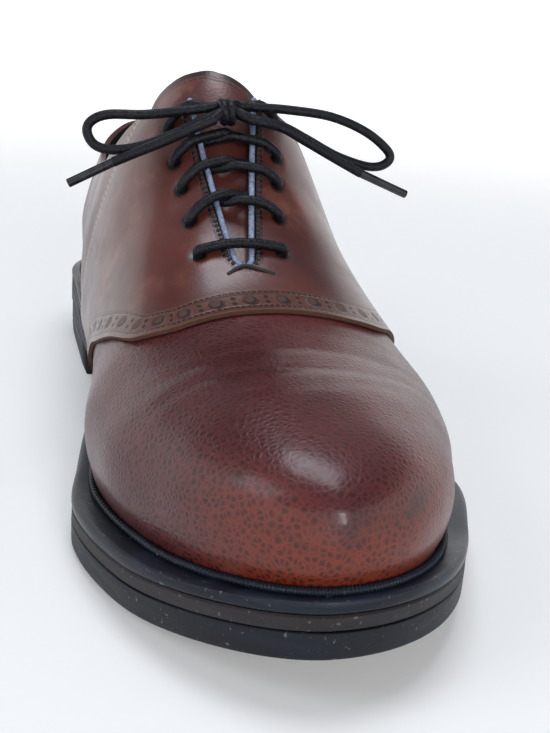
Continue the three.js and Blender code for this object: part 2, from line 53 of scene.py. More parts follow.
def table(names, rows):
    """Looks a column up between rows, along a monotone cubic."""
    columns = {name: [row[i] for row in rows] for i, name in enumerate(names)}
    starts = columns[names[0]]

    def look_up(name, at):
        values = columns[name]
        at = min(max(at, starts[0]), starts[-1])
        i = max(j for j in range(len(starts) - 1) if starts[j] <= at)
        slopes = [(values[j + 1] - values[j]) / (starts[j + 1] - starts[j]) for j in range(len(starts) - 1)]

        def slope(j):
            if j == 0 or j == len(starts) - 1:
                return slopes[max(j - 1, 0)]
            product = slopes[j - 1] * slopes[j]
            return 0 if product <= 0 else 2 * product / (slopes[j - 1] + slopes[j])

        span = starts[i + 1] - starts[i]
        t = (at - starts[i]) / span
        return ((2 * t**3 - 3 * t**2 + 1) * values[i] + (t**3 - 2 * t**2 + t) * span * slope(i)
                + (3 * t**2 - 2 * t**3) * values[i + 1] + (t**3 - t**2) * span * slope(i + 1))

    return lru_cache(None)(look_up)


sole = table(["at", "medial", "lateral", "feather"], [
    [0.00, 0.300, 0.320, 0.050],
    [0.12, 0.305, 0.328, 0.050],
    [0.25, 0.305, 0.340, 0.045],
    [0.38, 0.290, 0.368, 0.035],
    [0.50, 0.315, 0.430, 0.040],
    [0.60, 0.378, 0.505, 0.052],
    [0.68, 0.415, 0.545, 0.062],
    [0.76, 0.448, 0.548, 0.072],
    [0.86, 0.438, 0.508, 0.079],
    [1.00, 0.394, 0.484, 0.080],
])
underside = table(["at", "heel", "toe"], [
    [0.00, 1.00, 0.00],
    [0.15, 1.00, 0.00],
    [0.30, 0.73, 0.00],
    [0.45, 0.27, 0.00],
    [0.58, 0.03, 0.00],
    [0.62, 0.00, 0.00],
    [0.70, 0.00, 0.00],
    [0.86, 0.00, 0.28],
    [1.00, 0.00, 1.00],
])


def opening(share):
    heel = min(max(1 - share / 0.125, 0), 1)
    toe = min(max((share - 0.7) / 0.3, 0), 1)
    return (1 - heel**2.1) ** (1 / 2.1) * (1 - toe**2.05) ** (1 / 2.05)


def half_width(share, side):
    return sole("medial" if side < 0 else "lateral", share) * BALL_WIDTH * opening(share)


def under(y):
    share = 0.5 - y / SOLE_LENGTH
    return HEEL_RISE * underside("heel", share) + TOE_SPRING * underside("toe", share)


def seat(y):
    return under(y) + OUTSOLE + MIDSOLE + WELT + 2 * GAP


# The CAD's origin is under the middle of the sole, a little to the outer side of the last's line
ROUND_SHARES = [(1 - math.cos(math.pi * i / 32)) / 2 for i in range(33)]
SHIFT = max(half_width(share, 1) for share in ROUND_SHARES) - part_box("outsole")[1].x * 1000


def placed(x, y, z):
    return Vector(((x - SHIFT) / 1000, y / 1000, z / 1000))


def shaped_grid(bm, columns, rows, place, notes=()):
    """A flat grid whose corners go where place(u, v) says, with the values that it gives for the notes."""
    layers = [bm.verts.layers.float.get(note) or bm.verts.layers.float.new(note) for note in notes]
    made = bmesh.ops.create_grid(bm, x_segments=columns, y_segments=rows, size=1)["verts"]
    for vert in made:
        point, *values = place((vert.co.x + 1) / 2, (vert.co.y + 1) / 2)
        vert.co = point
        for layer, value in zip(layers, values):
            vert[layer] = value
    return made


def around(turn):
    """The share and the side of a place round the sole, from the heel up the outer side and back."""
    share = 2 * turn if turn <= 0.5 else 2 - 2 * turn
    return (1 - math.cos(math.pi * share)) / 2, 1 if turn <= 0.5 else -1


def sole_point(turn, inset, height):
    share, side = around(turn)
    back = SOLE_LENGTH / 2 - inset
    y = back - 2 * back * share
    x = max(0, half_width(share, side) - inset * opening(share))
    return placed(side * x, y, height(y))


def slab(levels, rungs=True):
    """A slab from levels of (inset, height), or a ring if its last level is its first."""
    bm = bmesh.new()
    steps = len(levels) - 1

    def wall(u, v):
        inset, height = levels[round(v * steps)]
        return (sole_point(u, inset, height),)

    shaped_grid(bm, 240, steps, wall)
    if rungs:
        for inset, height in (levels[0], levels[-1]):
            def rung(u, v):
                edge = sole_point(u / 2, inset, height), sole_point(1 - u / 2, inset, height)
                return (edge[0].lerp(edge[1], v),)

            shaped_grid(bm, 120, 6, rung)
    bmesh.ops.remove_doubles(bm, verts=bm.verts[:], dist=2e-5)
    bmesh.ops.recalc_face_normals(bm, faces=bm.faces[:])
    return bm


def finished(name, bm, nodes, finishes, sharp=40):
    mesh = bpy.data.meshes.new(name)
    bm.to_mesh(mesh)
    bm.free()
    mesh.shade_smooth()
    mesh.set_sharp_from_angle(angle=math.radians(sharp))
    piece = bpy.data.objects.new(name, mesh)
    bpy.context.collection.objects.link(piece)
    for finish in finishes:
        mesh.materials.append(finish)
    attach(piece, "root")
    if nodes:
        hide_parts(*nodes)
    return piece


def tone(red, green, blue):
    """A colour as read off a screen, for the shader."""
    shares = [c / 255 for c in (red, green, blue)]
    return tuple(c / 12.92 if c < 0.0405 else ((c + 0.055) / 1.055) ** 2.4 for c in shares) + (1,)


def node(finish, kind, inputs=(), **settings):
    made = finish.node_tree.nodes.new("ShaderNode" + kind)
    for key, value in settings.items():
        setattr(made, key, value)
    for key, value in dict(inputs).items():
        if isinstance(value, bpy.types.NodeSocket):
            finish.node_tree.links.new(value, made.inputs[key])
        else:
            made.inputs[key].default_value = value
    return made


def sums(finish, operation, *values, clamp=False):
    return node(finish, "Math", enumerate(values), operation=operation, use_clamp=clamp).outputs[0]


def times(finish, first, second):
    return sums(finish, "MULTIPLY", first, second)


def fade(finish, value, start, end, low=0.0, high=1.0):
    ends = {"Value": value, "From Min": start, "From Max": end, "To Min": low, "To Max": high}
    return node(finish, "MapRange", ends, interpolation_type="SMOOTHSTEP").outputs[0]


def blend(finish, factor, first, second, kind="MIX"):
    return node(finish, "Mix", {0: factor, 6: first, 7: second}, data_type="RGBA", blend_type=kind).outputs[2]


def noise(finish, scale, detail=3, roughness=0.5, vector=None):
    inputs = {"Scale": scale, "Detail": detail, "Roughness": roughness, "Vector": vector or place_on(finish)}
    return node(finish, "TexNoise", inputs).outputs[0]


def place_on(finish):
    found = finish.node_tree.nodes.get("place")
    if not found:
        found = node(finish, "TexCoord", name="place")
    return found.outputs["Object"]


def noted(finish, name):
    return node(finish, "Attribute", attribute_name=name).outputs["Fac"]


def new_finish(name, **sockets):
    finish = bpy.data.materials.new(name)
    finish.use_nodes = True
    shader = finish.node_tree.nodes["Principled BSDF"]
    for key, value in sockets.items():
        shader.inputs[key.replace("_", " ")].default_value = value
    return finish, shader.inputs


def bump(finish, height, distance, normal=None):
    inputs = {"Height": height, "Distance": distance, "Strength": 1.0}
    if normal:
        inputs["Normal"] = normal
    return node(finish, "Bump", inputs).outputs[0]


def join(finish, socket, value):
    finish.node_tree.links.new(value, socket)


def moulded_rubber(name, dark, light, rough):
    finish, shader = new_finish(name, Roughness=rough, Specular_IOR_Level=0.25)
    streaks = node(finish, "Mapping", {"Vector": place_on(finish), "Scale": (18, 18, 260)}).outputs[0]
    long_streak = noise(finish, 1, 4, 0.6, streaks)
    specks = fade(finish, noise(finish, 900, 2), 0.66, 0.74)
    cloud = fade(finish, noise(finish, 35, 3), 0.35, 0.7)
    colour = blend(finish, fade(finish, long_streak, 0.35, 0.75), dark, light)
    colour = blend(finish, times(finish, cloud, 0.3), colour, light)
    colour = blend(finish, times(finish, specks, 0.5), colour, tone(120, 122, 128))
    join(finish, shader["Base Color"], colour)
    join(finish, shader["Roughness"], fade(finish, long_streak, 0.3, 0.7, rough - 0.1, rough + 0.1))
    grain = sums(finish, "ADD", times(finish, noise(finish, 1600, 2), 0.4), long_streak)
    join(finish, shader["Normal"], bump(finish, grain, 0.00012))
    return finish


outsole_rubber = moulded_rubber("outsole_rubber", tone(9, 11, 17), tone(24, 29, 40), 0.5)


def outsole_top(y):
    return under(y) + OUTSOLE


finished("outsole_slab", slab([
    (0.9, under), (0.25, lambda y: under(y) + 0.25), (0, lambda y: under(y) + 0.9),
    (0, lambda y: outsole_top(y) - 0.25), (0.3, outsole_top),
]), ["outsole"], [outsole_rubber])

# Heel: a rubber block and the lift under it, stacked and trimmed with the sole, and scooped at the breast.
# They are cut from the CAD's own solids, so that their edges stay sharp.
heel_rubber = moulded_rubber("heel_rubber", tone(11, 12, 17), tone(26, 29, 37), 0.55)
for heel_part in ("heel_lift", "heel_block"):
    bm = bmesh.new()
    bm.from_mesh(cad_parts[heel_part].data)
    bmesh.ops.remove_doubles(bm, verts=bm.verts[:], dist=1e-6)
    finished(heel_part + "_rubber", bm, [heel_part], [heel_rubber], 30)

# Midsole: the thin grey-brown layer between the outsole and the welt.
# Only a fine dark line shows above and below it.
midsole_rubber = moulded_rubber("midsole_rubber", tone(36, 33, 36), tone(56, 51, 53), 0.6)


def midsole_foot(y):
    return outsole_top(y) + GAP


def midsole_top(y):
    return midsole_foot(y) + MIDSOLE


finished("midsole_layer", slab([
    (0.3, midsole_foot), (0.1, lambda y: midsole_foot(y) + 0.2),
    (0.1, lambda y: midsole_top(y) - 0.5), (0.6, midsole_top),
]), ["midsole"], [midsole_rubber])

# Welt: a moulded rim of blue-black rubber with a rounded edge and fine ribs across its top.
# A ribbed bead stands on it, tight against the upper.
WELT_WIDTH = 14


def welt_foot(y):
    return midsole_top(y) + GAP


welt_rubber = moulded_rubber("welt_rubber", tone(12, 16, 24), tone(34, 43, 58), 0.36)
finished("welt_rim", slab([
    (0.5, welt_foot), (0.1, lambda y: welt_foot(y) + 0.25), (0, lambda y: welt_foot(y) + 0.6),
    (0, lambda y: seat(y) - 1.1), (0.3, lambda y: seat(y) - 0.45), (0.9, lambda y: seat(y) - 0.1),
    (1.7, seat), (3.2, seat), (WELT_WIDTH, seat), (WELT_WIDTH, welt_foot), (0.5, welt_foot),
], rungs=False), ["welt"], [welt_rubber])

# Upper: pebble-grain leather, 2 mm thick with its black lining, pulled over the last.
# It is open at the collar and down the throat, and creased where the toes bend.
LAST_HEIGHT, COLLAR_HEIGHT, LEATHER = 134.5, 92.5, 2
BACK_Y, FRONT_Y = SOLE_LENGTH / 2 - 4, 5 - SOLE_LENGTH / 2
THROAT, FACING_TOP, FOOT = 0.664, 0.486, 1
SLIT_FOOT, SLIT_TOP, SLIT_TURN = 3.3, 11.6, 3.6 / (BACK_Y - FRONT_Y)
section = table(["at", "top", "ridge", "medial", "lateral", "wide", "over", "side"], [
    [0.00, 0.860, 0.000, 0.264, 0.300, 0.185, 0.43, 0.12],
    [0.12, 0.890, 0.010, 0.268, 0.318, 0.185, 0.44, 0.18],
    [0.25, 0.945, 0.022, 0.298, 0.353, 0.168, 0.50, 0.28],
    [0.38, 1.000, 0.030, 0.330, 0.398, 0.150, 0.48, 0.38],
    [0.46, 0.935, 0.024, 0.327, 0.420, 0.150, 0.46, 0.43],
    [0.55, 0.738, 0.014, 0.339, 0.451, 0.142, 0.45, 0.44],
    [0.64, 0.560, 0.008, 0.369, 0.488, 0.134, 0.49, 0.51],
    [0.72, 0.470, 0.000, 0.403, 0.503, 0.126, 0.53, 0.54],
    [0.80, 0.436, -0.004, 0.403, 0.480, 0.126, 0.56, 0.56],
    [0.88, 0.427, -0.004, 0.378, 0.455, 0.126, 0.57, 0.56],
    [1.00, 0.420, 0.000, 0.341, 0.450, 0.126, 0.58, 0.56],
])
collar = table(["at", "medial", "lateral"], [
    [0.00, 1.000, 1.000],
    [0.06, 0.935, 0.980],
    [0.18, 0.858, 0.865],
    [0.27, 0.860, 0.835],
    [0.36, 0.995, 0.915],
    [0.43, 1.145, 1.050],
    [FACING_TOP, 1.185, 1.178],
])


@lru_cache(None)
def rib(s, side):
    """One section of the last: its centre line, its heights and its half widths."""
    base = seat(BACK_Y + (FRONT_Y - BACK_Y) * s) + GAP
    dome = min(max((s - 0.84) / 0.16, 0), 1)
    tip = base + 14
    top = tip + (section("top", s) * LAST_HEIGHT - tip) * (1 - dome**2.3) ** (1 / 2.3)
    wide = base + section("wide", s) * BALL_WIDTH * min(1, (top - base) / 30)
    half = section("medial" if side < 0 else "lateral", s) * BALL_WIDTH * opening(s)
    feather = max(0, half_width(s, side) - sole("feather", s) * BALL_WIDTH * opening(s))
    return base, top, wide, half, feather, ridge(s), section("over", s), section("side", s)


@lru_cache(None)
def ridge(s):
    return section("ridge", s) * BALL_WIDTH * opening(s)


def cubic(a, b, c, d, t):
    return (1 - t) ** 3 * a + 3 * (1 - t) ** 2 * t * b + 3 * (1 - t) * t**2 * c + t**3 * d


def last(s, side, t):
    base, top, wide, half, feather, middle, over, flank = rib(s, side)
    centre = side * middle
    if t <= 0.7:
        u = t / 0.7
        x = cubic(centre, centre + (half - centre) * over, half, half, u)
        z = cubic(top, top, wide + (top - wide) * flank, wide, u)
    else:
        u = (t - 0.7) / 0.3
        x = cubic(half, half, feather + (half - feather) * 0.55, feather, u)
        z = cubic(wide, wide - (wide - base) * 0.45, base + (wide - base) * 0.12, base, u)
    rise = z - base
    back = BACK_Y + 3 * math.sin(math.pi * min(rise / 44, 1)) - 0.15 * max(rise - 44, 0)
    front = FRONT_Y - 1.2 * math.sin(math.pi * min(rise / 17, 1))
    return Vector((side * x, back + (front - back) * s, z))


def skin(s, side, t, lift):
    """A point at a lift from the last, in the CAD's frame. The sides share the ridge, heel and toe."""
    side = 1 if s <= 0 or s >= 1 or t <= 0 else side
    ahead, behind = min(max(s + 0.001, 0.002), 0.999), min(max(s - 0.001, 0.001), 0.998)
    along = last(ahead, side, t) - last(behind, side, t)
    down = last(s, side, min(t + 0.001, 1)) - last(s, side, max(t - 0.001, 0))
    normal = along.cross(down) * side
    if s <= 0 or s >= 1:
        normal.x = 0
    return placed(*(last(s, side, t) + normal.normalized() * lift))


def slit(s):
    up = (THROAT - s) / (THROAT - FACING_TOP)
    turn = min(max((s - THROAT + SLIT_TURN) / SLIT_TURN, 0), 1)
    return (SLIT_FOOT + (SLIT_TOP - SLIT_FOOT) * up) * math.sqrt(1 - turn**2)


def is_open(s, side, t):
    if s >= THROAT:
        return False
    point = last(s, side, t)
    if s < FACING_TOP:
        return point.z > collar("medial" if side < 0 else "lateral", s) * COLLAR_HEIGHT
    return side * (point.x - ridge(s)) < slit(s)


def halved(low, high, is_low):
    for _ in range(24):
        middle = (low + high) / 2
        low, high = (middle, high) if is_low(middle) else (low, middle)
    return (low + high) / 2


def across(s, side, distance):
    """The t at a distance across from the ridge."""
    return halved(0, 0.7, lambda t: side * (last(s, side, t).x - ridge(s)) < distance)


def edge_mark(line, side):
    """The t where a line of the last comes out from under the collar or throat."""
    return halved(0, 0.69, lambda t: is_open(line(t), side, t)) if is_open(line(0), side, 0) else 0


def crowd(low, high, count, ends):
    """Places from low to high that crowd towards the ends named."""
    shares = [i / count for i in range(count + 1)]
    if ends == "both":
        shares = [(1 - math.cos(math.pi * share)) / 2 for share in shares]
    elif ends == "high":
        shares = [math.sin(math.pi * share / 2) for share in shares]
    elif ends == "low":
        shares = [1 - math.cos(math.pi * share / 2) for share in shares]
    return [low + (high - low) * share for share in shares]


def hide_shell(panels, steps, foot, lift, notes, values):
    """A skin at a lift from the last over rows of lines, on both sides, joined at the ridge, heel and toe."""
    bm = bmesh.new()
    for side in (-1, 1):
        for lines in panels:
            lows = [edge_mark(line(side), side) for line in lines]

            def place(u, v):
                row = round(u * (len(lines) - 1))
                t = lows[row] + (foot - lows[row]) * v
                s = lines[row](side)(t)
                return skin(s, side, t, lift(s, side, t)), *values(s, side, t)

            shaped_grid(bm, len(lines) - 1, steps, place, notes)
    bmesh.ops.remove_doubles(bm, verts=bm.verts[:], dist=2e-6)
    bmesh.ops.recalc_face_normals(bm, faces=bm.faces[:])
    bm.faces.ensure_lookup_table()
    if max(bm.faces, key=lambda face: face.calc_center_median().z).normal.z < 0:
        bmesh.ops.reverse_faces(bm, faces=bm.faces[:])
    return bm


def thicken(piece, thickness, inner=0, edge=0.0004):
    wall = piece.modifiers.new("wall", "SOLIDIFY")
    wall.thickness, wall.offset = thickness, -1
    wall.material_offset, wall.material_offset_rim = inner, 0
    rim = piece.modifiers.new("rim", "BEVEL")
    rim.width, rim.segments, rim.angle_limit, rim.harden_normals = edge, 2, math.radians(50), True
    return piece


folds = table(["at", "s", "width", "depth"], [
    [-0.60, 0.820, 0.008, 0.00],
    [-0.35, 0.826, 0.008, 0.10],
    [-0.10, 0.830, 0.007, 0.26],
    [0.10, 0.820, 0.007, 0.22],
    [0.35, 0.806, 0.008, 0.20],
    [0.60, 0.800, 0.008, 0.00],
])


def creases(s, side, t):
    """Soft troughs and ridges across the vamp, in millimetres."""
    place = side * t
    lift = 0
    for ahead, share in ((0, 1.0), (-0.035, 0.7), (0.032, 0.45), (-0.066, 0.35)):
        centre = folds("s", place) + ahead + 0.006 * math.sin(9 * place + 40 * ahead)
        gap = (s - centre) / folds("width", place)
        lift -= 0.7 * share * folds("depth", place) * math.exp(-gap**2)
        lift += 0.4 * share * folds("depth", place) * math.exp(-((gap - 2.1) / 1.3) ** 2)
    return lift


def upper_lift(s, side, t):
    wave = 0.18 * math.sin(60 * s + 5 * side * t) * math.exp(-((s - 0.9) / 0.05) ** 2)
    return creases(s, side, t) + wave


PEBBLES = 620


def pebbled_leather():
    finish, shader = new_finish("pebbled_leather", Roughness=0.4, Specular_IOR_Level=0.3)
    shader["Coat Weight"].default_value = 0.35
    shader["Coat Roughness"].default_value = 0.2
    place = place_on(finish)
    wander = node(finish, "TexNoise", {"Vector": place, "Scale": 260, "Detail": 2}).outputs[1]
    bend = (0.0011, 0.0011, 0.0011)
    bent = node(finish, "VectorMath", {0: wander, 1: bend}, operation="MULTIPLY").outputs[0]
    bent = node(finish, "VectorMath", {0: place, 1: bent}, operation="ADD").outputs[0]
    cells = node(finish, "TexVoronoi", {"Vector": bent, "Scale": PEBBLES, "Randomness": 0.9},
                 feature="DISTANCE_TO_EDGE").outputs["Distance"]
    middles = node(finish, "TexVoronoi", {"Vector": bent, "Scale": PEBBLES, "Randomness": 0.8})
    spots = fade(finish, middles.outputs["Distance"], 0.5, 0.2)
    far, down = noted(finish, "s"), noted(finish, "t")
    toe = times(finish, fade(finish, far, 0.88, 1.0), fade(finish, down, 0.15, 0.6))
    # Painted shade down the medial flank of the upper, fading out towards the toe
    inner = times(finish, fade(finish, noted(finish, "side"), 0.1, -0.5), fade(finish, far, 0.97, 0.8))
    front = fade(finish, far, 0.44, 0.47)
    grained = times(finish, front, fade(finish, down, 0.12, 0.5, 0.65, 1.0))
    cloud = fade(finish, noise(finish, 28, 4, 0.55), 0.35, 0.68)
    body = blend(finish, cloud, tone(62, 19, 21), tone(84, 29, 29))
    body = blend(finish, toe, body, tone(92, 31, 16))
    # The medial flank is darkened with painted shade
    body = blend(finish, times(finish, inner, 0.6), body, tone(50, 11, 15))
    body = blend(finish, times(finish, times(finish, spots, grained), 0.6), body, tone(42, 11, 13))
    body = blend(finish, front, blend(finish, cloud, tone(60, 26, 23), tone(82, 40, 33)), body)
    net = blend(finish, toe, tone(100, 48, 48), tone(124, 50, 28))
    scuff = fade(finish, noise(finish, 60, 5, 0.7), 0.6, 0.78)
    colour = blend(finish, times(finish, fade(finish, cells, 0.2, 0.0, 0.0, 0.45), grained), body, net)
    colour = blend(finish, times(finish, scuff, 0.22), colour, tone(118, 70, 60))
    stains = times(finish, noted(finish, "stain"), fade(finish, noise(finish, 150, 4), 0.3, 0.6))
    colour = blend(finish, times(finish, stains, 0.75), colour, tone(38, 20, 24))
    join(finish, shader["Base Color"], colour)
    dull = fade(finish, noise(finish, 45, 4), 0.3, 0.75, 0.36, 0.52)
    join(finish, shader["Roughness"], sums(finish, "ADD", dull, times(finish, scuff, 0.15)))
    pebble = times(finish, fade(finish, cells, 0.0, 0.4), grained)
    pebble = times(finish, pebble, fade(finish, toe, 0.0, 1.0, 1.0, 0.4))
    fine = times(finish, noise(finish, 2600, 2), 0.12)
    join(finish, shader["Normal"], bump(finish, sums(finish, "ADD", pebble, fine), 0.00011))
    return finish


def black_lining():
    finish, shader = new_finish("black_lining", Roughness=0.7)
    weave = noise(finish, 1500, 3)
    join(finish, shader["Base Color"], blend(finish, weave, tone(14, 14, 17), tone(36, 35, 38)))
    join(finish, shader["Normal"], bump(finish, weave, 0.0002))
    return finish


lining = black_lining()
grain = pebbled_leather()


def straight(s):
    return lambda side: lambda t: s


open_rows = [straight(s) for s in crowd(0, 0.25, 34, "low") + crowd(0.25, FACING_TOP - 0.0015, 34, "even")[1:]
             + crowd(FACING_TOP + 0.0015, THROAT, 36, "high")]
closed_rows = [straight(s) for s in crowd(THROAT, 0.84, 60, "even") + crowd(0.84, 1, 56, "high")[1:]]
# Dark stains at the toe, each with its place, side, way down, length, spread and strength
STAINS = [
    (0.981, 1, 0.50, 0.022, 0.10, 1.0),
    (0.945, -1, 0.417, 0.006, 0.05, 0.8),
    (0.985, -1, 0.62, 0.012, 0.06, 0.6),
]


def stain(s, side, t):
    return sum(power * math.exp(-((s - at) / length) ** 2 - ((side * t - face * down) / spread) ** 2)
               for at, face, down, length, spread, power in STAINS)


upper = finished("upper_leather", hide_shell(
    [open_rows, closed_rows], 66, FOOT, upper_lift, ["s", "t", "side", "stain"],
    lambda s, side, t: (s, t, side * min(1, t * 2), stain(s, side, t)),
), ["upper"], [grain, lining])
thicken(upper, LEATHER / 1000, inner=1)

# Bead: a ribbed rubber cord moulded along the welt's inner edge, tight against the upper.
# Its ribs are about 1.5 mm apart and stand for the stitching of a real welt.
BEAD = 1.25


def bead_point(u, v):
    share, side = around(u)
    spine = skin(share, side, 0.955, 1.0)
    out = skin(share, side, 0.955, 3.0) - spine
    out.z = 0
    out.normalize()
    spine.z = (seat(spine.y * 1000) + 0.75) / 1000
    radius = BEAD * (1 - 0.26 * abs(math.sin(math.pi * u * 470))) / 1000
    angle = 2 * math.pi * v
    return (spine + out * radius * math.cos(angle) + Vector((0, 0, radius * math.sin(angle))),)


bm = bmesh.new()
shaped_grid(bm, 2350, 10, bead_point)
bmesh.ops.remove_doubles(bm, verts=bm.verts[:], dist=2e-6)
bmesh.ops.recalc_face_normals(bm, faces=bm.faces[:])
finished("welt_bead", bm, [], [welt_rubber], 180)

# Insole: a dark sock liner over the board, which fills the inside of the welt.
# It shows only through the collar.
insole_finish, insole_shader = new_finish("sock_liner", Roughness=0.6)
sock = noise(insole_finish, 700, 3)
join(insole_finish, insole_shader["Base Color"],
     blend(insole_finish, sock, tone(26, 21, 20), tone(52, 42, 38)))
join(insole_finish, insole_shader["Normal"], bump(insole_finish, sock, 0.0003))
bm = bmesh.new()
bm.from_mesh(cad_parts["insole"].data)
bmesh.ops.remove_doubles(bm, verts=bm.verts[:], dist=1e-6)
finished("sock_liner", bm, ["insole"], [insole_finish], 30)

# Saddle: smooth polished leather, 1.3 mm thick, sewn over the upper round the instep and the facings.
# Its front edge is punched with a row of large holes with pairs of pinholes between them.
SADDLE, SADDLE_FOOT, SADDLE_LIFT = 1.3, 0.93, 1.6
saddle_edges = table(["at", "rear", "medial", "lateral"], [
    [0.00, 0.440, 0.724, 0.724],
    [0.20, 0.437, 0.727, 0.715],
    [0.34, 0.433, 0.710, 0.699],
    [0.45, 0.430, 0.669, 0.668],
    [0.55, 0.425, 0.625, 0.641],
    [0.65, 0.420, 0.565, 0.610],
    [0.80, 0.413, 0.510, 0.545],
    [1.00, 0.405, 0.480, 0.510],
])
EYELET_ROWS = [0.641, 0.602, 0.567, 0.537, 0.502]
EYELETS_OUT = [12.3, 13.3, 14.3, 15.4, 16.4]


def front_at(side, t):
    return saddle_edges("medial" if side < 0 else "lateral", t)


def saddle_line(share):
    def on_side(side):
        def s_at(t):
            rear = saddle_edges("rear", t)
            return rear + (front_at(side, t) - rear) * (share - 0.44) / (0.724 - 0.44)
        return s_at
    return on_side


def measured(points):
    """A tree of a line's points and the run to each, for the distance of any place from the line."""
    tree = kdtree.KDTree(len(points))
    run, runs = 0, []
    for i, point in enumerate(points):
        run += (point - points[i - 1]).length * 1000 if i else 0
        runs.append(run)
        tree.insert(point, i)
    tree.balance()

    def nearest(point):
        _, i, gap = tree.find(point)
        return gap * 1000, runs[i]

    return nearest


edge_ts = [SADDLE_FOOT * i / 1500 for i in range(1501)]
front_line = measured([skin(front_at(-1, t), -1, t, SADDLE_LIFT) for t in reversed(edge_ts)]
                      + [skin(front_at(1, t), 1, t, SADDLE_LIFT) for t in edge_ts[1:]])
rear_lines = {side: measured([skin(saddle_edges("rear", t), side, t, SADDLE_LIFT) for t in edge_ts])
              for side in (-1, 1)}
throat_ss = [FACING_TOP + (THROAT - FACING_TOP) * i / 700 for i in range(701)]
throat_lines = {side: measured([skin(s, side, across(s, side, slit(s)), SADDLE_LIFT) for s in throat_ss])
                for side in (-1, 1)}
eyelets = [(s, side, out) for s, out in zip(EYELET_ROWS, EYELETS_OUT) for side in (-1, 1)]
eyelet_tree = kdtree.KDTree(len(eyelets))
for i, (s, side, out) in enumerate(eyelets):
    eyelet_tree.insert(skin(s, side, across(s, side, out), SADDLE_LIFT), i)
eyelet_tree.balance()


def saddle_values(s, side, t):
    point = skin(s, side, t, SADDLE_LIFT)
    gap, run = front_line(point)
    rear_gap, rear_run = rear_lines[side](point)
    throat_gap, throat_run = throat_lines[side](point)
    hole = eyelet_tree.find(point)[2] * 1000
    return gap, run, rear_gap, rear_run, throat_gap, throat_run, hole


def saddle_lift(s, side, t):
    point = skin(s, side, t, SADDLE_LIFT)
    hole = eyelet_tree.find(point)[2] * 1000
    return SADDLE_LIFT - 0.4 * math.exp(-(hole / 2.0) ** 2) + 0.08 * math.exp(-((hole - 4) / 1.6) ** 2)


def dots(finish, run, gap, pitch, start, row, radius):
    """Round marks along a line, 1 inside, from the run along it and the gap from it."""
    along = sums(finish, "PINGPONG", sums(finish, "ADD", run, start), pitch / 2)
    away = sums(finish, "SUBTRACT", gap, row)
    squares = sums(finish, "ADD", times(finish, along, along), times(finish, away, away))
    return fade(finish, sums(finish, "SQRT", squares), radius + 0.18, radius - 0.18)


def dashes(finish, run, gap, pitch, row, width, share=0.72):
    """Stitches along a line, 1 on the thread."""
    along = sums(finish, "PINGPONG", run, pitch / 2)
    away = sums(finish, "ABSOLUTE", sums(finish, "SUBTRACT", gap, row))
    across_it = fade(finish, away, width, width * 0.35)
    half = share * pitch / 2
    return times(finish, fade(finish, along, half + 0.12, half - 0.12), across_it)


def greatest(finish, *values):
    found = values[0]
    for value in values[1:]:
        found = sums(finish, "MAXIMUM", found, value)
    return found


HOLES = 9.6


